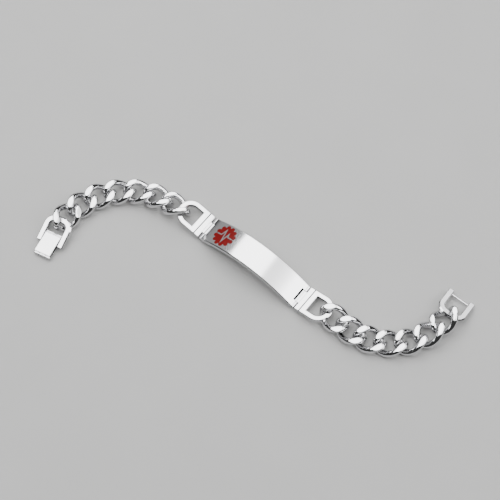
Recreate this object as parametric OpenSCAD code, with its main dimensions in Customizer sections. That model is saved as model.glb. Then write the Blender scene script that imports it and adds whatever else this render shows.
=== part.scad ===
// Medical alert bracelet in polished steel, lying open on a flat surface.
// X runs along the laid bracelet, Y across it and Z up, and Z = 0 is the surface.

/* [Identity plate] */
// Straight distance between the two hinge pins of the plate
plate_span = 45.1; // [36:0.1:60]
// Width of the plate, of its end links and of their strips
plate_width = 11.1; // [9:0.1:14]
// Thickness of the plate
plate_thick = 2.25; // [1.6:0.05:2.5]
// Radius of the curve that fits the plate to the wrist, at mid thickness
plate_radius = 42; // [34:1:70]
// Bevel along the long edges of the plate
plate_bevel = 0.3; // [0.1:0.05:0.5]
// Where the middle of the plate lies, left or right of the laid bracelet's centre
plate_x = 0.71; // [-10:0.01:10]
// Where the middle of the plate lies, behind or in front of the laid bracelet's centre
plate_y = 1.79; // [-10:0.01:10]
// Direction of the plate, turned from the X axis
plate_heading = -39; // [-60:1:0]

/* [Badge] */
// Radius of the enamel badge over its scallops
badge_radius = 4.9; // [3.6:0.1:5]
// Number of scallops round the badge
scallop_count = 12; // [8:1:16]
// Depth of the recess that holds the enamel
badge_depth = 0.4; // [0.25:0.05:0.7]
// Distance of the badge's centre from the middle of the plate
badge_offset = 14.3; // [13:0.1:16]
// Width of the steel pulse line that stands in the enamel
pulse_width = 0.5; // [0.3:0.05:0.8]

/* [Plate hinges] */
// Radius of the hinge pins
pin_radius = 0.5; // [0.4:0.05:0.6]
// Radius of the rounded lug round each pin
lug_radius = 1.3; // [1.1:0.05:1.4]
// Width of the tab of an end link, between the two lugs
tab_width = 5.4; // [4:0.1:6.6]
// Gap on each side of a tab
tab_gap = 0.2; // [0.1:0.05:0.4]
// Depth of the notch in the plate behind each pin
notch_depth = 1.6; // [1.4:0.05:2.4]

/* [End links] */
// Thickness of the end links
end_thick = 1.9; // [1.8:0.1:2.6]
// Distance from a pin to the edge of the cross strip
strip_start = 1.6; // [1.5:0.05:2]
// Length of the strip between its edge and the groove
strip_length = 2.25; // [1.6:0.05:3]
// Length of the bar between the groove and the hole
bar_length = 2.15; // [1.6:0.05:3]
// Length of the straight arms beside the hole
arm_length = 3.55; // [3:0.05:5]
// Width of the arms and of the round bow
bow_width = 2.1; // [1.8:0.1:2.6]
// Upward slope of the end links, towards the chain
end_slope = 12.5; // [8:0.5:16]

/* [Chain] */
// Diameter of the wire of a curb link
wire_d = 2.75; // [2.4:0.05:3]
// Half length of a link, to the middle of its wire
link_half_length = 5.5; // [5.2:0.1:6.2]
// Half width of a link, to the middle of its wire
link_half_width = 4.15; // [3.9:0.05:4.6]
// Twist of each end of a link
link_twist = 57; // [50:1:60]
// Thickness of a link after its crests are ground flat
ground_thick = 5.6; // [5.2:0.1:6]
// Distance from one link to the next on the left, where the chain is drawn out further
left_pitch = 8.05; // [7.6:0.1:8.2]
// Distance from one link to the next on the right
right_pitch = 7.9; // [7.6:0.1:8.2]
// Roll of the links beside the plate and beside the clasp
end_roll = 20; // [12:1:24]
// Play between a link and the bow of an end link or bail that it hangs in
link_play = 0.5; // [0.3:0.05:0.8]
// How far round the bow of its end link the first left link has slid
left_start_turn = 11; // [-20:1:30]
// How far round the bow of its end link the first right link has slid
right_start_turn = 8; // [-20:1:30]

/* [Clasp bails] */
// Width of a bail over its two arms
bail_width = 11.8; // [10.6:0.1:13]
// Length of a bail
bail_length = 11.4; // [10.6:0.1:13]
// Width of the band that a bail is made of
band_width = 2.35; // [2:0.05:2.6]
// Thickness of a bail
bail_thick = 2; // [1.8:0.1:2.6]
// Bevel along the edges of the band
bail_bevel = 0.4; // [0.2:0.05:0.6]
// Outer radius of the two corners of a bail
corner_radius = 4.3; // [3:0.1:4.6]
// Distance from the middle of the cross bar to the ends of the arms
arm_end = 0.9; // [0.9:0.05:1.4]
// Radius of the cross bar
cross_bar_radius = 0.38; // [0.3:0.02:0.45]
// Depth to which the cross bar enters each arm
bar_depth = 1.4; // [0.8:0.1:1.8]
// Height of the cross bar from the middle of the bail's thickness
cross_bar_height = -0.3; // [-0.4:0.05:0]
// Slope of the left bail, its closed end up on the last link
left_bail_slope = 16; // [10:0.5:18]
// Slope of the right bail, its closed end up on the last link
right_bail_slope = 16; // [10:0.5:18]
// Roll of the left bail
left_bail_roll = 5; // [0:1:18]
// Roll of the right bail
right_bail_roll = 4; // [0:1:18]

/* [Clasp] */
// Gap between the tongue or the cover and each arm of its bail
clasp_play = 0.15; // [0.1:0.05:0.3]
// Length of the cover, from its edge at the hinge to its free edge
cover_length = 9.7; // [9:0.1:11]
// Thickness of the cover
cover_thick = 0.8; // [0.6:0.05:1]
// Distance from the cover's hinge pin back to the edge of the cover above it
cover_setback = 0.15; // [0.05:0.05:0.4]
// Distance from the cross bar to the hinge pin of the cover
hinge_reach = 6.45; // [6.4:0.05:7.6]
// Height of the cover's hinge pin above the cross bar
hinge_height = 0.1; // [0:0.05:0.15]
// Radius of the hinge knuckles of tongue and cover
knuckle_radius = 0.68; // [0.6:0.02:0.75]
// Radius of the hinge pin of the cover
cover_pin_radius = 0.28; // [0.2:0.02:0.34]
// Thickness of the tongue
tongue_thick = 0.7; // [0.5:0.05:0.8]
// Radius of the barrel of the tongue round the cross bar
barrel_radius = 0.75; // [0.7:0.01:0.8]
// Width of each of the two outer knuckles of the tongue
foot_width = 1.9; // [1.4:0.1:2.2]
// Turn of the tongue from the slope of its bail, its outer end resting on the surface
tongue_turn = -13.5; // [-16:0.1:10]

/* [Fits] */
// Radial play of a fixed pin in its hole
fixed_play = 0.02; // [0.01:0.005:0.04]
// Radial play of a turning piece on its pin
turning_play = 0.05; // [0.03:0.01:0.08]
// Gap between pieces that touch on the real bracelet
seat_gap = 0.1; // [0.05:0.01:0.2]

/* [Hidden] */
$fn = 48;

// Directions of the links and of the bail on each side, from the plate outwards, chosen by hand
LEFT_HEADINGS = [149, 153, 169, 186, 201, 217, 232, 244];
RIGHT_HEADINGS = [-41, -35, -18, -2, 15, 34, 49, 54];

// Shape of the pulse line as shares of the badge's radius, along and across the plate
PULSE_POINTS = [
    [-0.76, 0], [-0.34, 0], [-0.18, 0.5], [0.06, -0.52], [0.24, 0.26], [0.34, 0], [0.76, 0]
];

steel = [0.80, 0.80, 0.82];
enamel_red = [0.75, 0.04, 0.05];
over = 1;
wire_r = wire_d / 2;
link_count = len(LEFT_HEADINGS) - 1;

// Plate: its end slope, the height of its pins and the centre of its curve
plate_slope = asin(plate_span / 2 / plate_radius);
pin_height = lug_radius;
curve_height = pin_height - plate_radius * cos(plate_slope);
plate_top = plate_radius + plate_thick / 2;
badge_turn = asin(badge_offset / plate_radius);

// End link: places along it, measured from the pin
groove_at = strip_start + strip_length;
hole_start = groove_at + bar_length;
bow_centre = hole_start + arm_length;
bow_outer = plate_width / 2;
bow_inner = bow_outer - bow_width;
function overhang(pitch) = link_half_length - pitch / 2;
function bow_to_joint(pitch) = bow_inner - link_play - wire_r + overhang(pitch);

// Bail: places along it, measured from the cross bar
bail_inner = bail_width / 2 - band_width;
closed_end = bail_length - arm_end;
function joint_to_bar(pitch) = overhang(pitch) + closed_end - band_width - link_play - wire_r;

function unit(a) = [cos(a), sin(a)];
function roll_of(k) = end_roll * (1 - 2 * k / (link_count - 1));

// Curb link: a twisted oval of round wire, its crests ground flat
ring_steps = 16;
wire_sides = 6;
oval_power = 0.9;
function shaped(v) = sign(v) * pow(abs(v), oval_power);
function oval(t) = let (
    x = link_half_length * shaped(cos(t)),
    y = link_half_width * shaped(sin(t)),
    turn = link_twist * x / link_half_length
) [x, y * cos(turn), -y * sin(turn)];
function unit3(v) = v / norm(v);
function wire_point(t, a) = let (
    p = oval(t),
    along = unit3(oval(t + 1) - oval(t - 1)),
    side = unit3([p.x, p.y, 0]),
    up = unit3(cross(along, side)),
    out = cross(up, along),
    q = p + wire_r * (cos(a) * out + sin(a) * up)
) [q.x, q.y, max(-ground_thick / 2, min(ground_thick / 2, q.z))];
link_points = [
    for (i = [0 : ring_steps - 1], j = [0 : wire_sides - 1])
        wire_point(360 * i / ring_steps, 360 * j / wire_sides)
];
link_faces = [
    for (i = [0 : ring_steps - 1], j = [0 : wire_sides - 1])
        let (
            m = (i + 1) % ring_steps,
            n = (j + 1) % wire_sides,
            a = i * wire_sides + j,
            b = m * wire_sides + j,
            c = m * wire_sides + n,
            d = i * wire_sides + n
        ) each [[a, b, c], [a, c, d]]
];

// Height at which a link of a given roll and slope rests on the surface
function rest_height(roll, slope = 0) = -min([
    for (p = link_points) p.x * sin(slope) + (p.y * sin(roll) + p.z * cos(roll)) * cos(slope)
]);

// Height of the cross bar of a bail that rests on the ends of its arms
function bar_height(roll, slope) = arm_end * sin(slope) + cos(slope)
    * ((bail_width / 2 - bail_bevel) * sin(roll) + (bail_thick / 2 + cross_bar_height) * cos(roll));

// Height of the joint at each end of a link, from 0 at the plate to link_count at the bail
function bail_joint_height(roll, slope, pitch) = bar_height(roll, slope)
    + joint_to_bar(pitch) * sin(slope) - cross_bar_height * cos(slope) * cos(roll);
function joint_height(k, pitch, start_turn, bail_joint) =
    k == 0 ? pin_height + (bow_centre + bow_to_joint(pitch) * cos(start_turn)) * sin(end_slope)
    : k == link_count ? bail_joint
    : (rest_height(roll_of(k - 1)) + rest_height(roll_of(k))) / 2;

// Place of each joint on the surface, from the end link outwards
function joint_place(start, headings, pitch, k) = k == 0 ? start
    : joint_place(start, headings, pitch, k - 1) + pitch * unit(headings[k - 1]);
plate_centre = [plate_x, plate_y];
left_pin = plate_centre - plate_span / 2 * unit(plate_heading);
right_pin = plate_centre + plate_span / 2 * unit(plate_heading);
function chain_start(pin, heading, turn, pitch) = pin
    + cos(end_slope) * (bow_centre * unit(heading) + bow_to_joint(pitch) * unit(heading + turn));
left_start = chain_start(left_pin, plate_heading + 180, left_start_turn, left_pitch);
right_start = chain_start(right_pin, plate_heading, right_start_turn, right_pitch);
function bar_place(start, headings, slope, pitch) = joint_place(start, headings, pitch, link_count)
    + joint_to_bar(pitch) * cos(slope) * unit(headings[link_count]);
left_bar = bar_place(left_start, LEFT_HEADINGS, left_bail_slope, left_pitch);
right_bar = bar_place(right_start, RIGHT_HEADINGS, right_bail_slope, right_pitch);
left_bail_joint = bail_joint_height(left_bail_roll, left_bail_slope, left_pitch);
right_bail_joint = bail_joint_height(right_bail_roll, right_bail_slope, right_pitch);

// Clasp: width of its tongue and cover, and heights and lengths measured from the cross bar
cover_width = 2 * (bail_inner - clasp_play);
cover_base = barrel_radius + seat_gap;
cover_reach = hinge_reach - cover_setback;
foot_end = hinge_reach + knuckle_radius;
centre_knuckle = cover_width - 2 * foot_width - 3 * seat_gap;

// Outline of a bevelled band, across and through it
function bevelled(w, t, b) = [
    [-w / 2 + b, -t / 2], [w / 2 - b, -t / 2], [w / 2, -t / 2 + b], [w / 2, t / 2 - b],
    [w / 2 - b, t / 2], [-w / 2 + b, t / 2], [-w / 2, t / 2 - b], [-w / 2, -t / 2 + b]
];

// Outline of a line of even width through a list of points
function side_step(p, k, w) = let (
    before = p[k] - p[max(k - 1, 0)],
    after = p[min(k + 1, len(p) - 1)] - p[k],
    a = k == 0 ? after / norm(after) : before / norm(before),
    b = k == len(p) - 1 ? a : after / norm(after),
    middle = [-a.y - b.y, a.x + b.x]
) 2 * w * middle / (middle * middle);
function lengthened(p, more) = [
    for (k = [0 : len(p) - 1]) p[k] + [k == 0 ? -more : k == len(p) - 1 ? more : 0, 0]
];
function stroke(p, w) = concat(
    [for (k = [0 : len(p) - 1]) p[k] + side_step(p, k, w)],
    [for (k = [len(p) - 1 : -1 : 0]) p[k] - side_step(p, k, w)]
);

// A bar of bevelled section along X, and a profile in X and Z carried across Y
module bar_along_x(length, outline) {
    rotate([90, 0, 90])
        linear_extrude(length)
            polygon(outline);
}
module profile_across(width, outline) {
    rotate([90, 0, 0])
        linear_extrude(width, center = true)
            polygon(outline);
}
module rod_across(width, radius) {
    rotate([90, 0, 0])
        cylinder(h = width, r = radius, center = true);
}

// Frames of the pieces
module on_plate() {
    translate([plate_x, plate_y, 0])
        rotate([0, 0, plate_heading])
            children();
}
module at_curve_centre() {
    translate([0, 0, curve_height])
        children();
}
module at_badge() {
    at_curve_centre()
        rotate([0, -badge_turn, 0])
            children();
}
module at_plate_end(side) {
    rotate([0, 0, side > 0 ? 0 : 180])
        translate([plate_span / 2, 0, pin_height])
            children();
}
module at_bail(bar, heading, roll, slope) {
    translate([bar.x, bar.y, bar_height(roll, slope)])
        rotate([0, 0, heading])
            rotate([0, slope, 0])
                rotate([roll, 0, 0])
                    children();
}
module at_left_bail() {
    at_bail(left_bar, LEFT_HEADINGS[link_count], left_bail_roll, left_bail_slope)
        children();
}
module at_right_bail() {
    at_bail(right_bar, RIGHT_HEADINGS[link_count], right_bail_roll, right_bail_slope)
        children();
}
module on_tongue() {
    at_left_bail()
        rotate([0, tongue_turn, 0])
            children();
}

// Prism of the badge's outline, pointing out from the plate's curve
module badge_prism(inset) {
    scallop_at = badge_radius * 0.82;
    scallop_radius = badge_radius - scallop_at - inset;
    difference() {
        union() {
            cylinder(h = plate_top + over, r = scallop_at - inset);
            for (k = [0 : scallop_count - 1])
                rotate([0, 0, 360 * (k + 0.5) / scallop_count])
                    translate([scallop_at, 0, 0])
                        cylinder(h = plate_top + over, r = scallop_radius);
        }
        linear_extrude(2 * plate_top)
            polygon(stroke(lengthened(PULSE_POINTS * badge_radius, inset), pulse_width / 2 + inset));
    }
}

// Curved plate with two rounded lugs at each end
module id_plate() {
    color(steel)
        on_plate()
            difference() {
                union() {
                    at_curve_centre()
                        rotate([90, 0, 0])
                            rotate_extrude(angle = 2 * plate_slope, start = 90 - plate_slope, $fn = 96)
                                translate([plate_radius, 0])
                                    polygon(bevelled(plate_thick, plate_width, plate_bevel));
                    for (side = [-1, 1])
                        at_plate_end(side)
                            rod_across(plate_width - 2 * plate_bevel, lug_radius);
                }
                for (side = [-1, 1])
                    at_plate_end(side) {
                        rod_across(plate_width + over, pin_radius + fixed_play);
                        rotate([0, plate_slope, 0])
                            translate([-notch_depth, -tab_width / 2 - tab_gap, -plate_thick])
                                cube([notch_depth + 2 * lug_radius, tab_width + 2 * tab_gap, 2 * plate_thick]);
                    }
                intersection() {
                    at_badge()
                        badge_prism(0);
                    at_curve_centre()
                        difference() {
                            rod_across(plate_width + over, plate_top + over);
                            rod_across(plate_width + 2 * over, plate_top - badge_depth);
                        }
                }
            }
}

// Red enamel in the plate's recess, with the pulse line left open in it
module enamel_badge() {
    color(enamel_red)
        on_plate()
            intersection() {
                at_badge()
                    badge_prism(fixed_play);
                at_curve_centre()
                    difference() {
                        rod_across(plate_width + over, plate_top - fixed_play);
                        rod_across(plate_width + 2 * over, plate_top - badge_depth + fixed_play);
                    }
            }
}

// Pin that joins a plate end to its end link
module hinge_pin(side) {
    color(steel)
        on_plate()
            at_plate_end(side)
                rod_across(plate_width - 2 * plate_bevel, pin_radius);
}

// Cast end link: tab, grooved strip and bar, and a round bow
module end_link(side) {
    half = end_thick / 2;
    bevel = 0.25;
    groove = 0.25;
    cross_outline = [
        [strip_start, -half + bevel], [strip_start + bevel, -half], [hole_start, -half], [hole_start, half],
        [groove_at + groove, half], [groove_at, half - groove], [groove_at - groove, half],
        [strip_start + bevel, half], [strip_start, half - bevel]
    ];
    arm_middle = (bow_inner + bow_outer) / 2;
    color(steel)
        on_plate()
            at_plate_end(side)
                rotate([0, -end_slope, 0])
                    difference() {
                        union() {
                            intersection() {
                                profile_across(plate_width, cross_outline);
                                bar_along_x(hole_start, bevelled(plate_width, end_thick, bevel));
                            }
                            for (y = [-arm_middle, arm_middle])
                                translate([hole_start - bevel, y, 0])
                                    bar_along_x(arm_length + bevel, bevelled(bow_width, end_thick, bevel));
                            translate([bow_centre, 0, 0])
                                rotate_extrude(angle = 180, start = -90)
                                    translate([arm_middle, 0])
                                        polygon(bevelled(bow_width, end_thick, bevel));
                            rod_across(tab_width, lug_radius - 0.1);
                            translate([0, -tab_width / 2, -half + bevel])
                                cube([strip_start + bevel, tab_width, end_thick - 1.5 * bevel]);
                        }
                        rod_across(plate_width, pin_radius + turning_play);
                    }
}

// One curb link, lying along X round its own centre
module curb_link() {
    color(steel)
        polyhedron(points = link_points, faces = link_faces, convexity = 4);
}
module chain_link(start, headings, pitch, start_turn, bail_joint, k) {
    place = (joint_place(start, headings, pitch, k) + joint_place(start, headings, pitch, k + 1)) / 2;
    first = joint_height(k, pitch, start_turn, bail_joint);
    last = joint_height(k + 1, pitch, start_turn, bail_joint);
    slope = asin((last - first) / pitch);
    translate([place.x, place.y, rest_height(roll_of(k), slope)])
        rotate([0, 0, headings[k]])
            rotate([0, -slope, 0])
                rotate([roll_of(k), 0, 0])
                    curb_link();
}

// Horseshoe bail of bevelled band, with two blind holes for its cross bar
module bail() {
    band = bevelled(band_width, bail_thick, bail_bevel);
    bend_at = closed_end - corner_radius;
    middle = bail_inner + band_width / 2;
    color(steel)
        translate([0, 0, -cross_bar_height])
            difference() {
                union() {
                    for (y = [-middle, middle])
                        translate([-bend_at, y, 0])
                            bar_along_x(bend_at + arm_end, band);
                    for (side = [-1, 1])
                        translate([-bend_at, side * (bail_width / 2 - corner_radius), 0])
                            rotate_extrude(angle = 90, start = side > 0 ? 90 : 180)
                                translate([corner_radius - band_width / 2, 0])
                                    polygon(band);
                    translate([-closed_end + band_width / 2, -bail_width / 2 + corner_radius, 0])
                        rotate([90, 0, 180])
                            linear_extrude(bail_width - 2 * corner_radius)
                                polygon(band);
                }
                translate([0, 0, cross_bar_height])
                    rod_across(2 * (bail_inner + bar_depth), cross_bar_radius + fixed_play);
            }
}
module cross_bar() {
    color(steel)
        rod_across(2 * (bail_inner + bar_depth - seat_gap), cross_bar_radius);
}

// Tongue of the clasp: a barrel on the cross bar, a flat strip and two knuckles
module clasp_tongue() {
    web = [
        [0, -barrel_radius], [foot_end - knuckle_radius, -barrel_radius],
        [foot_end - knuckle_radius, tongue_thick - barrel_radius], [0, tongue_thick - barrel_radius]
    ];
    foot = [
        [hinge_reach - knuckle_radius, -barrel_radius], [foot_end, -barrel_radius],
        [foot_end, hinge_height], [hinge_reach - knuckle_radius, hinge_height]
    ];
    color(steel)
        on_tongue()
            difference() {
                union() {
                    rod_across(cover_width, barrel_radius);
                    profile_across(cover_width, web);
                    for (side = [-1, 1])
                        translate([0, side * (cover_width - foot_width) / 2, 0]) {
                            profile_across(foot_width, foot);
                            translate([hinge_reach, 0, hinge_height])
                                rod_across(foot_width, knuckle_radius);
                        }
                }
                rod_across(cover_width + over, cross_bar_radius + turning_play);
                translate([hinge_reach, 0, hinge_height])
                    rod_across(cover_width + over, cover_pin_radius + fixed_play);
                translate([hinge_reach - knuckle_radius - seat_gap, -cover_width / 2 + foot_width, -2 * over])
                    cube([3 * over, cover_width - 2 * foot_width, 4 * over]);
            }
}
module cover_pin() {
    color(steel)
        on_tongue()
            translate([hinge_reach, 0, hinge_height])
                rod_across(cover_width, cover_pin_radius);
}

// Cover that folds over the tongue, with one knuckle on the pin and a bevelled free edge
module clasp_cover() {
    free_edge = cover_reach - cover_length;
    top = cover_base + cover_thick;
    lip = 1;
    plate_outline = [
        [free_edge, cover_base], [cover_reach, cover_base], [cover_reach, top - 0.15],
        [cover_reach - 0.15, top], [free_edge + lip, top], [free_edge, top - 0.3]
    ];
    web_outline = [
        [cover_reach - 0.9, cover_base + 0.1], [cover_reach - 0.5, hinge_height],
        [cover_reach, hinge_height], [cover_reach, cover_base + 0.1]
    ];
    color(steel)
        on_tongue()
            difference() {
                union() {
                    profile_across(cover_width, plate_outline);
                    profile_across(centre_knuckle, web_outline);
                    translate([hinge_reach, 0, hinge_height])
                        rod_across(centre_knuckle, knuckle_radius);
                }
                translate([hinge_reach, 0, hinge_height])
                    rod_across(cover_width + over, cover_pin_radius + turning_play);
            }
}

id_plate();
enamel_badge();
hinge_pin(-1);  // left_hinge_pin
hinge_pin(1);  // right_hinge_pin
end_link(-1);  // left_end_link
end_link(1);  // right_end_link
for (k = [0 : link_count - 1])
    chain_link(left_start, LEFT_HEADINGS, left_pitch, left_start_turn, left_bail_joint, k);
for (k = [0 : link_count - 1])
    chain_link(right_start, RIGHT_HEADINGS, right_pitch, right_start_turn, right_bail_joint, k);
at_left_bail() bail();  // left_bail
at_left_bail() cross_bar();  // tongue_bar
clasp_tongue();
cover_pin();
clasp_cover();
at_right_bail() bail();  // right_bail
at_right_bail() cross_bar();  // catch_bar
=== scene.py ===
import math

import bmesh
import bpy
import numpy as np
from mathutils import Matrix, Vector


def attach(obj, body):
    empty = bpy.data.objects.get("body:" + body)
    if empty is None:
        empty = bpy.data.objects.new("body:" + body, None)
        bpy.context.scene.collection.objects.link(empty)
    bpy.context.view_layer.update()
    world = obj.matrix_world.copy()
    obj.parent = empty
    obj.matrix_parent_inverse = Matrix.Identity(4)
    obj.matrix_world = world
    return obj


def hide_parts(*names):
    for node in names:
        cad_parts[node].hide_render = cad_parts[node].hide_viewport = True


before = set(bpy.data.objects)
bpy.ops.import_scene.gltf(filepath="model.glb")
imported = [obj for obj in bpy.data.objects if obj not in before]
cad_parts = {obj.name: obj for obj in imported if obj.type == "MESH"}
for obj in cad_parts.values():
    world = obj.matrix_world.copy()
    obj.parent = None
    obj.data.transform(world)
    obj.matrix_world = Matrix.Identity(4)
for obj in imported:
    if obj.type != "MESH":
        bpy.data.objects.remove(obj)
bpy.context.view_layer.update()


# Identity plate. A strip of stainless steel 11 mm wide, bent to the curve of the wrist and lapped
# to a soft shine. Its ends are rolled into two lugs each, with a notch between them for the link,
# and a shallow scalloped recess is sunk near its left end for the enamel.
plate_span = 45.1
plate_width = 11.1
plate_thick = 2.25
plate_radius = 42.0
plate_edge = 0.3
lug_radius = 1.3
pin_radius = 0.5
tab_width = 5.4
tab_gap = 0.2
notch_depth = 1.85
badge_radius = 4.9
badge_depth = 0.4
badge_offset = 14.3
scallops = 12
pulse_width = 0.5
# Points of the pulse line, as parts of the badge's radius
pulse_line = [
    (-0.76, 0), (-0.34, 0), (-0.18, 0.5), (0.06, -0.52), (0.24, 0.26), (0.34, 0), (0.76, 0),
]

plate_slope = math.asin(plate_span / 2 / plate_radius)
curve_height = lug_radius - plate_radius * math.cos(plate_slope)
plate_top = plate_radius + plate_thick / 2


def turned(axis, degrees):
    return Matrix.Rotation(math.radians(degrees), 4, axis)


def moved(x, y, z):
    return Matrix.Translation((x, y, z))


# The pieces are shaped in millimetres, each in a frame of its own, and then laid in metres
in_metres = Matrix.Scale(0.001, 4)
on_plate = moved(0.71, 1.79, 0) @ turned("Z", -39)


class Value:
    """A socket of a node tree that takes part in sums. node() adds any other node to the tree."""

    def __init__(self, tree, socket=None):
        self.tree = tree
        self.socket = socket

    def node(self, kind, settings={}, sockets={}, out=0):
        made = self.tree.nodes.new(kind)
        for name, setting in settings.items():
            setattr(made, name, setting)
        for key, value in sockets.items():
            if isinstance(value, Value):
                self.tree.links.new(value.socket, made.inputs[key])
            else:
                made.inputs[key].default_value = value
        return Value(self.tree, made.outputs[out] if made.outputs else None)

    def output(self, out):
        return Value(self.tree, self.socket.node.outputs[out])

    def sum(self, operation, *values):
        return self.node("ShaderNodeMath", {"operation": operation}, dict(enumerate(values)))

    def __add__(self, other):
        return self.sum("ADD", self, other)

    def __radd__(self, other):
        return self.sum("ADD", other, self)

    def __sub__(self, other):
        return self.sum("SUBTRACT", self, other)

    def __rsub__(self, other):
        return self.sum("SUBTRACT", other, self)

    def __mul__(self, other):
        return self.sum("MULTIPLY", self, other)

    def __rmul__(self, other):
        return self.sum("MULTIPLY", other, self)

    def __truediv__(self, other):
        return self.sum("DIVIDE", self, other)

    def __pow__(self, other):
        return self.sum("POWER", self, other)

    def __neg__(self):
        return self.sum("MULTIPLY", self, -1.0)

    def __abs__(self):
        return self.sum("ABSOLUTE", self)

    def __gt__(self, other):
        return self.sum("GREATER_THAN", self, other)

    def __lt__(self, other):
        return self.sum("LESS_THAN", self, other)


def new_tree(name, sizes):
    """A geometry tree with a named input for each size. Returns its start and its inputs."""
    tree = bpy.data.node_groups.new(name, "GeometryNodeTree")
    face = tree.interface
    face.new_socket("Path", in_out="INPUT", socket_type="NodeSocketGeometry")
    for size, kind in sizes.items():
        face.new_socket(size, in_out="INPUT", socket_type="NodeSocket" + kind)
    face.new_socket("Metal", in_out="INPUT", socket_type="NodeSocketMaterial")
    face.new_socket("Piece", in_out="OUTPUT", socket_type="NodeSocketGeometry")
    start = Value(tree).node("NodeGroupInput")
    return start, {s.name: Value(tree, s) for s in start.socket.node.outputs if s.name}


def close_tree(shape, inputs, crease):
    """Smooth faces with edges kept sharp where they turn by more than crease degrees."""
    smooth = shape.node("GeometryNodeSetShadeSmooth", {"domain": "FACE"}, {"Geometry": shape})
    bend = shape.node("GeometryNodeInputMeshEdgeAngle")
    keen = shape.node(
        "GeometryNodeSetShadeSmooth", {"domain": "EDGE"},
        {"Geometry": smooth, "Selection": bend > math.radians(crease), "Shade Smooth": False},
    )
    whole = shape.node("GeometryNodeRealizeInstances", {}, {"Geometry": keen})
    metal = shape.node(
        "GeometryNodeSetMaterial", {}, {"Geometry": whole, "Material": inputs["Metal"]}
    )
    shape.node("NodeGroupOutput", {}, {0: metal})


def new_piece(name, mesh, metal=None):
    piece = bpy.data.objects.new(name, mesh)
    bpy.context.collection.objects.link(piece)
    if metal:
        mesh.materials.clear()
        mesh.materials.append(metal)
    return piece


def applied(piece):
    """Turns what a piece's modifiers make into its plain mesh."""
    seen = piece.evaluated_get(bpy.context.evaluated_depsgraph_get())
    mesh = bpy.data.meshes.new_from_object(seen)
    piece.modifiers.clear()
    piece.data = mesh
    return piece


def grown(name, tree, path, sizes):
    """A plain mesh grown by a geometry tree along a path of points."""
    mesh = bpy.data.meshes.new(name)
    mesh.from_pydata(path, [(k, k + 1) for k in range(len(path) - 1)], [])
    piece = new_piece(name, mesh)
    grow = piece.modifiers.new("grow", "NODES")
    grow.node_group = tree
    for socket in tree.interface.items_tree:
        if socket.in_out == "INPUT" and socket.name in sizes:
            grow[socket.identifier] = sizes[socket.name]
    return applied(piece)


def joined(piece, others, operation):
    """Adds other solids to a piece, or cuts them from it, and removes them from the scene."""
    for other in others:
        tool = piece.modifiers.new("tool", "BOOLEAN")
        tool.operation = operation
        tool.solver = "EXACT"
        tool.object = other
    applied(piece)
    for other in others:
        bpy.data.objects.remove(other)
    return piece


def prism(name, outline, low, high, place=Matrix()):
    """A straight solid of an outline in X and Y, from low to high, put in place."""
    shape = bmesh.new()
    bottom = shape.faces.new([shape.verts.new((x, y, low)) for x, y in outline])
    top = bmesh.ops.extrude_face_region(shape, geom=[bottom])["geom"]
    bmesh.ops.translate(
        shape, vec=(0, 0, high - low), verts=[v for v in top if isinstance(v, bmesh.types.BMVert)]
    )
    bmesh.ops.recalc_face_normals(shape, faces=shape.faces)
    mesh = bpy.data.meshes.new(name)
    shape.to_mesh(mesh)
    shape.free()
    mesh.transform(place)
    return new_piece(name, mesh)


def rod(name, radius, length, place=Matrix(), steps=48):
    """A rod across the bracelet, along Y."""
    turns = [2 * math.pi * k / steps for k in range(steps)]
    outline = [(radius * math.cos(a), radius * math.sin(a)) for a in turns]
    return prism(name, outline, -length / 2, length / 2, place @ turned("X", 90))


# Edges that turn by more than this are eased, and stay sharp in the shading
edge_turn = math.radians(32)


def levelled(piece):
    """Shades a piece smooth between its sharp edges, and its flats as true flats."""
    piece.data.shade_smooth()
    piece.data.set_sharp_from_angle(angle=edge_turn)
    level = piece.modifiers.new("level", "WEIGHTED_NORMAL")
    level.keep_sharp = True
    return applied(piece)


def eased(piece, width):
    """Eases the edges of a piece as polishing does."""
    ease = piece.modifiers.new("ease", "BEVEL")
    ease.width = width
    ease.segments = 2
    ease.limit_method = "ANGLE"
    ease.angle_limit = edge_turn
    ease.use_clamp_overlap = True
    return levelled(applied(piece))


def laid(piece, place, node, body="bracelet"):
    """Lays a finished piece in the row's frame, in metres, for the solid of that name."""
    piece.data.transform(in_metres @ place)
    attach(piece, body)
    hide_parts(node)
    return piece


def true_normals(piece):
    """Gives the bent faces of the plate and of the enamel the exact normals of their curve."""
    along_curve = 0.995
    mesh = piece.data
    mesh.shade_smooth()
    mesh.set_sharp_from_angle(angle=math.radians(25))
    normals = [Vector(n.vector) for n in mesh.corner_normals]
    for face in mesh.polygons:
        out = Vector((face.center.x, 0, face.center.z - curve_height))
        if abs(face.normal.dot(out.normalized())) < along_curve:
            continue
        if out.length < plate_radius - plate_thick:
            continue
        side = 1 if face.normal.dot(out) > 0 else -1
        for corner in face.loop_indices:
            at = mesh.vertices[mesh.loops[corner].vertex_index].co
            normals[corner] = side * Vector((at.x, 0, at.z - curve_height)).normalized()
    mesh.normals_split_custom_set(normals)
    return piece


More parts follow.
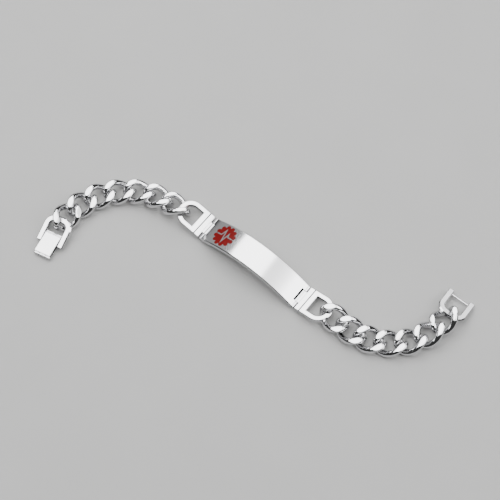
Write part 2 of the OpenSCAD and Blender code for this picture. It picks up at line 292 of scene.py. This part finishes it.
def steel_finish(name, colour, roughness, smear, grain, grain_turn, grain_depth, ripple_depth):
    """Stainless steel. Smears of polish vary its gloss, and the last belt's grain its normal."""
    finish = bpy.data.materials.new(name)
    finish.use_nodes = True
    finish.node_tree.nodes.clear()
    start = Value(finish.node_tree)
    place = start.node("ShaderNodeTexCoord", out=3)
    clouds = start.node(
        "ShaderNodeTexNoise", {}, {"Vector": place, "Scale": 260.0, "Detail": 3.0}
    )
    along = start.node(
        "ShaderNodeMapping", {},
        {"Vector": place, "Rotation": (0, 0, math.radians(grain_turn)), "Scale": grain},
    )
    lines = start.node("ShaderNodeTexNoise", {}, {"Vector": along, "Scale": 1.0, "Detail": 4.0})
    worn = start.node(
        "ShaderNodeTexNoise", {}, {"Vector": place, "Scale": 700.0, "Detail": 2.0, "Roughness": 0.4}
    )
    gloss = roughness + smear * (clouds - 0.5) + smear * 0.8 * (lines - 0.5)
    fine = start.node(
        "ShaderNodeBump", {}, {"Height": lines, "Strength": 1.0, "Distance": grain_depth}
    )
    waves = start.node(
        "ShaderNodeBump", {},
        {"Height": worn, "Strength": 1.0, "Distance": ripple_depth, "Normal": fine},
    )
    surface = start.node(
        "ShaderNodeBsdfPrincipled", {},
        {"Base Color": (*colour, 1), "Metallic": 1.0, "Roughness": gloss, "Normal": waves},
    )
    start.node("ShaderNodeOutputMaterial", {}, {"Surface": surface})
    return finish


mirror_steel = steel_finish(
    "mirror polished steel", (0.60, 0.60, 0.61), 0.075, 0.05, (900, 9000, 900), 39, 4e-7, 2e-6
)
# Near-black steel, put on the plate's notch walls and on the end links' groove, front face and tab
# sides as painted shade in these gaps and creases.
shade_painted_steel = steel_finish(
    "painted shade steel", (0.08, 0.08, 0.085), 0.4, 0.10, (600, 600, 600), 0, 1e-6, 1e-6
)
lapped_steel = steel_finish(
    "lapped steel", (0.62, 0.62, 0.63), 0.14, 0.05, (900, 9000, 900), 39, 4e-7, 1e-6
)

band_start, band = new_tree("bevelled band", {
    "Depth": "Float", "Breadth": "Float", "Bevel": "Float", "Inner bevel": "Float",
    "Normal": "Vector",
})
band_path = band_start.node("GeometryNodeMeshToCurve", {}, {"Mesh": band["Path"]})
band_path = band_start.node(
    "GeometryNodeSetCurveNormal", {"mode": "FREE"},
    {"Curve": band_path, "Normal": band["Normal"]},
)
band_section = band_start.node(
    "GeometryNodeCurvePrimitiveQuadrilateral", {},
    {"Width": band["Depth"], "Height": band["Breadth"]},
)
corner = band_start.node("GeometryNodeInputPosition")
corner_x = corner.node("ShaderNodeSeparateXYZ", {}, {"Vector": corner})
inner_top = (corner_x > 0.0) * (corner_x.output(1) > 0.0)
band_section = band_start.node(
    "GeometryNodeFilletCurve", {"mode": "POLY"},
    {"Curve": band_section, "Count": 1,
     "Radius": band["Bevel"] + inner_top * (band["Inner bevel"] - band["Bevel"])},
)
band_solid = band_start.node(
    "GeometryNodeCurveToMesh", {},
    {"Curve": band_path, "Profile Curve": band_section, "Fill Caps": True},
)
close_tree(band_solid, band, 25)
band_tree = band_start.tree

arc_steps = 120
arc = [plate_slope * (2 * k / arc_steps - 1) for k in range(arc_steps + 1)]
plate_path = [
    (plate_radius * math.sin(a), 0, curve_height + plate_radius * math.cos(a)) for a in arc
]
plate = grown("polished_plate", band_tree, plate_path, {
    "Depth": plate_width, "Breadth": plate_thick, "Bevel": plate_edge, "Inner bevel": plate_edge,
    "Normal": (0, 1, 0), "Metal": lapped_steel,
})

plate_ends = [turned("Z", turn) @ moved(plate_span / 2, 0, lug_radius) for turn in (0, 180)]
lugs = [rod("lug", lug_radius, plate_width - 2 * plate_edge, end, 64) for end in plate_ends]
joined(plate, lugs, "UNION")

half_tab = tab_width / 2 + tab_gap
notch_end = 4
notch = [
    (-notch_depth, -half_tab), (notch_end, -half_tab),
    (notch_end, half_tab), (-notch_depth, half_tab),
]
plate_cuts = [
    prism("notch", notch, -plate_thick, plate_thick, end @ turned("Y", math.degrees(plate_slope)))
    for end in plate_ends
]
fixed_play = 0.02
plate_cuts += [rod("bore", pin_radius + fixed_play, plate_width + 1, end) for end in plate_ends]
at_curve = moved(0, 0, curve_height)
at_badge = at_curve @ turned("Y", -math.degrees(math.asin(badge_offset / plate_radius)))


def badge_outline(inset):
    """The scalloped edge of the badge."""
    ring = 0.82 * badge_radius
    scallop = badge_radius - ring
    reach = math.pi / 2 + math.asin(scallop / 2 / ring)
    outline = []
    for k in range(scallops):
        middle = 2 * math.pi * (k + 0.5) / scallops
        for step in range(13):
            turn = middle + reach * (step / 6 - 1)
            outline.append((
                ring * math.cos(middle) + (scallop - inset) * math.cos(turn),
                ring * math.sin(middle) + (scallop - inset) * math.sin(turn),
            ))
    return outline


def pulse_outline(widen):
    """The pulse line, of even width through its points."""
    points = [Vector(p) * badge_radius for p in pulse_line]
    points[0].x -= widen
    points[-1].x += widen
    half = pulse_width / 2 + widen
    sides = []
    for k, point in enumerate(points):
        before = (point - points[k - 1] if k else points[1] - point).normalized()
        after = (points[k + 1] - point).normalized() if k < len(points) - 1 else before
        middle = Vector((-before.y - after.y, before.x + after.x))
        sides.append(2 * half * middle / middle.length_squared)
    left = [p + s for p, s in zip(points, sides)]
    right = [p - s for p, s in zip(points, sides)]
    return [tuple(p) for p in left + right[::-1]]


def badge_prism(name, inset, under):
    """The badge's outline without its pulse line, down to a depth under the plate's top."""
    body = prism(name, badge_outline(inset), plate_top - 2, plate_top + 1, at_badge)
    pulse = prism("pulse", pulse_outline(inset), plate_top - 3, plate_top + 2, at_badge)
    core = rod("core", plate_top - under, plate_width + 4, at_curve, 720)
    return joined(joined(body, [pulse], "DIFFERENCE"), [core], "DIFFERENCE")


plate_cuts.append(badge_prism("recess", 0, badge_depth))
joined(plate, plate_cuts, "DIFFERENCE")
# The notch's upright walls are painted near black, as painted shade in the gap round the end link's
# tab.
plate.data.materials.append(shade_painted_steel)
notch_zone = plate_span / 2 - 2.5
upright = 0.8
for face in plate.data.polygons:
    in_notch = abs(face.center.x) > notch_zone and abs(face.center.y) < half_tab + 0.02
    if in_notch and abs(face.normal.z) < upright:
        face.material_index = 1
laid(true_normals(plate), on_plate, "id_plate")


# Badge. Red resin enamel poured into the recess and ground level with the plate, under a clear
# glaze. A pulse line is left standing in the steel.
enamel_red = bpy.data.materials.new("red enamel")
enamel_red.use_nodes = True
enamel_red.node_tree.nodes.clear()
start = Value(enamel_red.node_tree)
place = start.node("ShaderNodeTexCoord", out=3)
pigment = start.node("ShaderNodeTexNoise", {}, {"Vector": place, "Scale": 1500.0, "Detail": 3.0})
shade = start.node(
    "ShaderNodeMix", {"data_type": "RGBA"},
    {0: pigment, 6: (0.060, 0.0001, 0.0002, 1), 7: (0.085, 0.0002, 0.0003, 1)}, out=2,
)
glaze = start.node("ShaderNodeTexNoise", {}, {"Vector": place, "Scale": 900.0, "Detail": 1.0})
glaze_bump = start.node(
    "ShaderNodeBump", {}, {"Height": glaze, "Strength": 1.0, "Distance": 6e-6}
)
surface = start.node(
    "ShaderNodeBsdfPrincipled", {},
    {"Base Color": shade, "Roughness": 0.16 + 0.10 * pigment, "Normal": glaze_bump,
     "Specular IOR Level": 0.3},
)
start.node("ShaderNodeOutputMaterial", {}, {"Surface": surface})

badge_play = 0.02
enamel = badge_prism("badge_enamel", badge_play, badge_depth - badge_play)
glaze_radius = plate_top - 1.02
glazed = grown("glazed", band_tree, [
    (glaze_radius * math.sin(a), 0, curve_height + glaze_radius * math.cos(a)) for a in arc
], {
    "Depth": plate_width, "Breadth": 2.0, "Bevel": 0.01, "Inner bevel": 0.01,
    "Normal": (0, 1, 0), "Metal": enamel_red,
})
joined(enamel, [glazed], "INTERSECT")
enamel.data.materials.clear()
enamel.data.materials.append(enamel_red)
laid(true_normals(enamel), on_plate, "enamel_badge")


# Hinge pins. Plain wire pins pressed through the plate's lugs, on which the end links turn.
# Their ends are trimmed level with the lugs and eased.
pin_start, pin = new_tree("eased pin", {"Radius": "Float", "Length": "Float", "Ease": "Float"})
index = pin_start.node("GeometryNodeInputIndex")
side = 2.0 * (index > 1.5) - 1.0
middle = (index > 0.5) * (index < 2.5)
pin_at = pin_start.node(
    "ShaderNodeCombineXYZ", {}, {"Y": side * (0.5 * pin["Length"] - middle * pin["Ease"])}
)
pin_line = pin_start.node("GeometryNodeMeshToCurve", {}, {"Mesh": pin["Path"]})
pin_line = pin_start.node("GeometryNodeSetPosition", {}, {"Geometry": pin_line, "Position": pin_at})
pin_section = pin_start.node(
    "GeometryNodeCurvePrimitiveCircle", {}, {"Resolution": 32, "Radius": 1.0}
)
pin_solid = pin_start.node(
    "GeometryNodeCurveToMesh", {},
    {"Curve": pin_line, "Profile Curve": pin_section, "Fill Caps": True,
     "Scale": pin["Radius"] - (1.0 - middle) * pin["Ease"]},
)
close_tree(pin_solid, pin, 30)


def new_pin(name, radius, length):
    return grown(name, pin_start.tree, [(0, k, 0) for k in range(4)], {
        "Radius": radius, "Length": length, "Ease": 0.06, "Metal": mirror_steel,
    })


for name, end in zip(("right", "left"), plate_ends):
    hinge_pin = new_pin(name + "_plate_pin", pin_radius, plate_width - 2 * plate_edge)
    laid(hinge_pin, on_plate @ end, name + "_hinge_pin")


# End links. Cast steel: a tab that fills the plate's notch, a cross strip and a bar with a groove
# between them, and a round bow for the first curb link. The top is ground flat and polished, and
# the hole's upper edge is chamfered. The groove is painted dark as painted shade.
end_thick = 1.9
strip_start = 1.6
groove_at = 3.85
hole_start = 6.0
bow_centre = 9.55
bow_width = 2.1
end_slope = 12.5
end_chamfer = 0.22
hole_chamfer = 0.42
half = end_thick / 2
groove_depth = 0.34
groove = [
    (groove_at, half - groove_depth),
    (groove_at + 0.32, half + 0.155), (groove_at - 0.32, half + 0.155),
]


def bow_outline(start, reach):
    """Square towards the plate, and round about the bow's centre."""
    turns = [math.pi * k / 48 for k in range(49)]
    bow = [(bow_centre + reach * math.sin(a), -reach * math.cos(a)) for a in turns]
    return [(start, -reach)] + bow + [(start, reach)]


def lofted(name, levels):
    """A solid through outlines of equal length, each (outline, height), from the lowest up."""
    shape = bmesh.new()
    rows = [[shape.verts.new((x, y, z)) for x, y in outline] for outline, z in levels]
    for low, high in zip(rows, rows[1:]):
        for k in range(len(low)):
            shape.faces.new((low[k - 1], low[k], high[k], high[k - 1]))
    shape.faces.new(rows[0])
    shape.faces.new(rows[-1])
    bmesh.ops.recalc_face_normals(shape, faces=shape.faces)
    mesh = bpy.data.meshes.new(name)
    shape.to_mesh(mesh)
    shape.free()
    return new_piece(name, mesh, mirror_steel)


for name, end in zip(("right", "left"), plate_ends):
    edge = bow_outline(strip_start, plate_width / 2)
    trimmed = bow_outline(strip_start + end_chamfer, plate_width / 2 - end_chamfer)
    link = lofted(name + "_end_piece", [
        (trimmed, -half), (edge, end_chamfer - half), (edge, half - end_chamfer), (trimmed, half),
    ])
    tab_end = strip_start + 0.3
    tab_low, tab_high = -half + 0.25, half - 0.12
    tab_outline = [(0, tab_low), (tab_end, tab_low), (tab_end, tab_high), (0, tab_high)]
    tab = prism("tab", tab_outline, -tab_width / 2, tab_width / 2, turned("X", 90))
    joined(link, [tab, rod("roll", lug_radius - 0.1, tab_width, Matrix(), 64)], "UNION")
    hole_reach = plate_width / 2 - bow_width
    joined(link, [
        lofted("hole", [
            (bow_outline(hole_start, hole_reach), -2),
            (bow_outline(hole_start, hole_reach), half - hole_chamfer),
            (bow_outline(hole_start, hole_reach + hole_chamfer + 0.2), half + 0.2),
        ]),
        prism("groove", groove, -plate_width, plate_width, turned("X", 90)),
        rod("bore", pin_radius + 0.05, plate_width, Matrix(), 32),
    ], "DIFFERENCE")
    eased(link, 0.07)
    # The groove, the strip's face towards the plate and the tab's sides are painted near black as
    # painted shade.
    link.data.materials.append(shade_painted_steel)
    for face in link.data.polygons:
        at = face.center
        in_groove = abs(at.x - groove_at) < 0.25 and at.z > half - 0.4 and face.normal.z < 0.9
        on_front = abs(at.x - strip_start) < 0.1 and face.normal.x < -0.9
        tab_side = abs(face.normal.y) > 0.9 and abs(at.y) < tab_width / 2 + 0.05
        if in_groove or on_front or tab_side:
            face.material_index = 1
    laid(link, on_plate @ end @ turned("Y", -end_slope), name + "_end_link")


# Curb links. Round steel wire bent into ovals, each linked through the last and soldered shut,
# then twisted until the chain lies flat. The crests are ground flat on both faces and polished.
link_start, curb = new_tree("curb link", {
    "Half length": "Float", "Half width": "Float", "Twist": "Float", "Roundness": "Float",
    "Wire radius": "Float", "Ground thickness": "Float", "Edge": "Float",
})
at = link_start.node("GeometryNodeInputPosition")
across = at.node("ShaderNodeSeparateXYZ", {}, {"Vector": at})
along_wire = across.sum("SIGN", across) * abs(across) ** curb["Roundness"]
over_wire = across.output(1)
over_wire = over_wire.sum("SIGN", over_wire) * abs(over_wire) ** curb["Roundness"]
over_wire = over_wire * curb["Half width"]
twist = curb["Twist"] * along_wire
wire_at = link_start.node("ShaderNodeCombineXYZ", {}, {
    "X": along_wire * curb["Half length"],
    "Y": over_wire * twist.sum("COSINE", twist),
    "Z": -(over_wire * twist.sum("SINE", twist)),
})
wire_path = link_start.node(
    "GeometryNodeCurvePrimitiveCircle", {}, {"Resolution": 128, "Radius": 1.0}
)
wire_path = link_start.node(
    "GeometryNodeSetPosition", {}, {"Geometry": wire_path, "Position": wire_at}
)
wire_section = link_start.node(
    "GeometryNodeCurvePrimitiveCircle", {}, {"Resolution": 48, "Radius": curb["Wire radius"]}
)
wire = link_start.node(
    "GeometryNodeCurveToMesh", {}, {"Curve": wire_path, "Profile Curve": wire_section}
)

# Grinding: heights near the ground level bend towards it softly, over the edge's width
ground_at = link_start.node("GeometryNodeInputPosition")
ground_x = ground_at.node("ShaderNodeSeparateXYZ", {}, {"Vector": ground_at})
height = ground_x.output(2)
level = 0.5 * curb["Ground thickness"]
below = (level - abs(height)) / curb["Edge"]
softened = below.sum("LOGARITHM", 1.0 + below.sum("EXPONENT", below), math.e)
ground_height = level - curb["Edge"] * softened
flattened = link_start.node("ShaderNodeCombineXYZ", {}, {
    "X": ground_x, "Y": ground_x.output(1), "Z": height.sum("SIGN", height) * ground_height,
})
ground = link_start.node(
    "GeometryNodeSetPosition", {}, {"Geometry": wire, "Position": flattened}
)
close_tree(ground, curb, 60)


def axes_of(node):
    """Middle and axes of a curb link's solid, longest along X and flattest along Z."""
    points = np.array([v.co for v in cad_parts[node].data.vertices])
    points = np.unique(np.round(points * 1000, 4), axis=0)
    middle = points.mean(axis=0)
    axes = np.linalg.eigh(np.cov((points - middle).T))[1]
    x, y = axes[:, 2], axes[:, 1]
    return Matrix([
        [x[0], y[0], np.cross(x, y)[0], middle[0]],
        [x[1], y[1], np.cross(x, y)[1], middle[1]],
        [x[2], y[2], np.cross(x, y)[2], middle[2]],
        [0, 0, 0, 1],
    ])


links_a_side = 7
for name in ("left", "right"):
    for k in range(1, links_a_side + 1):
        link = grown("%s_curb_%d" % (name, k), link_start.tree, [(0, 0, 0), (1, 0, 0)], {
            "Half length": 5.5, "Half width": 4.15, "Twist": math.radians(57), "Roundness": 0.9,
            "Wire radius": 1.28, "Ground thickness": 5.6, "Edge": 0.06, "Metal": mirror_steel,
        })
        node = "%s_link_%d" % (name, k)
        place = axes_of(node)
        lowest = min((place @ v.co).z for v in link.data.vertices)
        laid(link, moved(0, 0, max(0, -lowest)) @ place, node)


# Bails. Bevelled steel band bent to a square-cornered U round the last link on each side, with
# blind holes near the ends of its arms for the cross bar. The flats are belt-ground, the bevels
# polished.
satin_steel = steel_finish(
    "belt-ground steel", (0.62, 0.62, 0.63), 0.24, 0.10, (600, 14000, 600), 36, 1.2e-6, 1e-6
)
bail_width = 11.8
bail_length = 11.4
band_width = 2.35
bail_thick = 2.0
corner_radius = 4.3
arm_end = 0.9
bar_radius = 0.38
bar_height = -0.3
bar_depth = 1.4
closed_end = bail_length - arm_end
bend_at = closed_end - corner_radius
arm_middle = (bail_width - band_width) / 2
bend_radius = corner_radius - band_width / 2
bend_centre = bail_width / 2 - corner_radius
bail_path = [(arm_end, arm_middle, -bar_height)]
for first, centre in ((90, bend_centre), (180, -bend_centre)):
    bail_path += [
        (-bend_at + bend_radius * math.cos(a), centre + bend_radius * math.sin(a), -bar_height)
        for a in [math.radians(first + 90 * k / 24) for k in range(25)]
    ]
bail_path += [(arm_end, -arm_middle, -bar_height)]
inner_arm = bail_width / 2 - band_width
flat_up = 0.9
bails = {
    "left": moved(-78.8366, 10.9731, 1.37918) @ turned("Z", 244) @ turned("Y", 16) @ turned("X", 5),
    "right": moved(79.722, -13.7613, 1.28812) @ turned("Z", 54) @ turned("Y", 16) @ turned("X", 4),
}
for name, bar in (("left", "tongue_bar"), ("right", "catch_bar")):
    bail = grown(name + "_bail_band", band_tree, bail_path, {
        "Depth": bail_thick, "Breadth": band_width, "Bevel": 0.4, "Inner bevel": 0.4,
        "Normal": (0, 0, 1), "Metal": mirror_steel,
    })
    bore = rod("bore", bar_radius + fixed_play, 2 * (inner_arm + bar_depth), Matrix(), 32)
    joined(bail, [bore], "DIFFERENCE")
    eased(bail, 0.09)
    bail.data.materials.append(satin_steel)
    for face in bail.data.polygons:
        if face.normal.z > flat_up and face.area > 0.2:
            face.material_index = 1
    laid(bail, bails[name], name + "_bail")
    cross_bar = new_pin(name + "_cross_wire", bar_radius, 2 * (inner_arm + bar_depth - 0.1))
    laid(cross_bar, bails[name], bar)


# Clasp. A stamped tongue curled round the left cross bar, and a cover hinged to its outer end that
# folds back over it, with a fine line where its free edge starts to slope. Both are sheet steel,
# the cover's top belt-ground.
def sheet_metal(name, node, ease):
    """A copy of a solid with its triangles merged into clean faces and its edges eased."""
    shape = bmesh.new()
    shape.from_mesh(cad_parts[node].data)
    bmesh.ops.scale(shape, vec=(1000, 1000, 1000), verts=shape.verts)
    bmesh.ops.remove_doubles(shape, verts=shape.verts, dist=0.002)
    bmesh.ops.dissolve_limit(
        shape, angle_limit=math.radians(1), verts=shape.verts, edges=shape.edges
    )
    mesh = bpy.data.meshes.new(name)
    shape.to_mesh(mesh)
    shape.free()
    return eased(new_piece(name, mesh, mirror_steel), ease)


tongue = sheet_metal("folded_tongue", "clasp_tongue", 0.05)
laid(tongue, Matrix(), "clasp_tongue", "tongue")

on_tongue = bails["left"] @ turned("Y", -13.5)
cover_pin = new_pin("cover_hinge_wire", 0.28, 6.8)
laid(cover_pin, on_tongue @ moved(6.45, 0, 0.1), "cover_pin", "tongue")

cover = sheet_metal("folding_cover", "clasp_cover", 0.08)
cover_top = 1.65
slope_start = -2.4
line_depth = 0.10
bend_line = [
    (slope_start, cover_top - line_depth),
    (slope_start + 0.09, cover_top + 0.05), (slope_start - 0.09, cover_top + 0.05),
]
score = prism("bend_line", bend_line, -4, 4, on_tongue @ turned("X", 90))
joined(cover, [score], "DIFFERENCE")
levelled(cover)
cover.data.materials.append(satin_steel)
cover_up = (on_tongue.to_3x3() @ Vector((0, 0, 1))).normalized()
for face in cover.data.polygons:
    if face.normal.dot(cover_up) > flat_up:
        face.material_index = 1
laid(cover, Matrix(), "clasp_cover", "cover")


# Table, light and camera. A plain pale table top, soft boxes hung level overhead, which dim to the
# right of the middle and are dimmest behind on the left, and the camera 65 degrees above the table.
table_top = bpy.data.materials.new("pale table top")
table_top.use_nodes = True
table_top.node_tree.nodes.clear()
start = Value(table_top.node_tree)
place = start.node("ShaderNodeTexCoord", out=3)
grain = start.node("ShaderNodeTexNoise", {}, {"Vector": place, "Scale": 30.0, "Detail": 4.0})
shade = start.node(
    "ShaderNodeMix", {"data_type": "RGBA"},
    {0: grain, 6: (0.205, 0.205, 0.203, 1), 7: (0.225, 0.225, 0.223, 1)}, out=2,
)
surface = start.node("ShaderNodeBsdfPrincipled", {}, {"Base Color": shade, "Roughness": 0.75})
start.node("ShaderNodeOutputMaterial", {}, {"Surface": surface})
table = prism("table_top", [(-3, -3), (3, -3), (3, 3), (-3, 3)], -0.02, 0)
table.data.materials.append(table_top)


lamp_height = 0.60


def soft_light(name, low, high, radiance):
    """A soft box hung level over the table, between two corners in metres."""
    lamp = bpy.data.lights.new(name, "AREA")
    lamp.shape = "RECTANGLE"
    lamp.size = high[0] - low[0]
    lamp.size_y = high[1] - low[1]
    lamp.energy = radiance * math.pi * lamp.size * lamp.size_y
    held = bpy.data.objects.new(name, lamp)
    held.location = ((low[0] + high[0]) / 2, (low[1] + high[1]) / 2, lamp_height)
    bpy.context.collection.objects.link(held)


soft_light("left_light", (-0.70, -0.20), (-0.20, 0.44), 8.0)
soft_light("middle_light", (-0.20, -0.30), (0.17, 1.30), 8.0)
for k, radiance in enumerate((3.0, 3.3, 3.8, 4.6, 6.0)):
    low = (0.17 + 0.06 * k, -0.30)
    high = (0.23 + 0.06 * k, 0.30)
    soft_light("right_light_%d" % (k + 1), low, high, radiance)
soft_light("far_right_light", (0.47, -0.50), (1.10, 0.20), 8.0)
soft_light("left_back_light", (-1.80, 0.46), (-0.21, 2.40), 0.42)
soft_light("right_back_light", (0.40, 0.40), (0.95, 1.00), 3.5)
soft_light("back_light", (0.17, 0.90), (0.40, 1.50), 8.0)

world = bpy.data.worlds.new("studio")
world.use_nodes = True
world.node_tree.nodes["Background"].inputs["Color"].default_value = (1, 1, 1, 1)
world.node_tree.nodes["Background"].inputs["Strength"].default_value = 0.06
bpy.context.scene.world = world

lens = bpy.data.cameras.new("camera")
lens.sensor_width = 36
focal_pixels, picture_pixels = 1224, 500
lens.lens = lens.sensor_width * focal_pixels / picture_pixels
lens.clip_start = 0.01
camera = bpy.data.objects.new("camera", lens)
aim = Vector((-0.00084, 0.00799, 0))
tilt = math.radians(65)
distance = 0.480
camera.location = aim + distance * Vector((0, -math.cos(tilt), math.sin(tilt)))
camera.rotation_euler = (math.pi / 2 - tilt, 0, 0)
bpy.context.collection.objects.link(camera)
bpy.context.scene.camera = camera
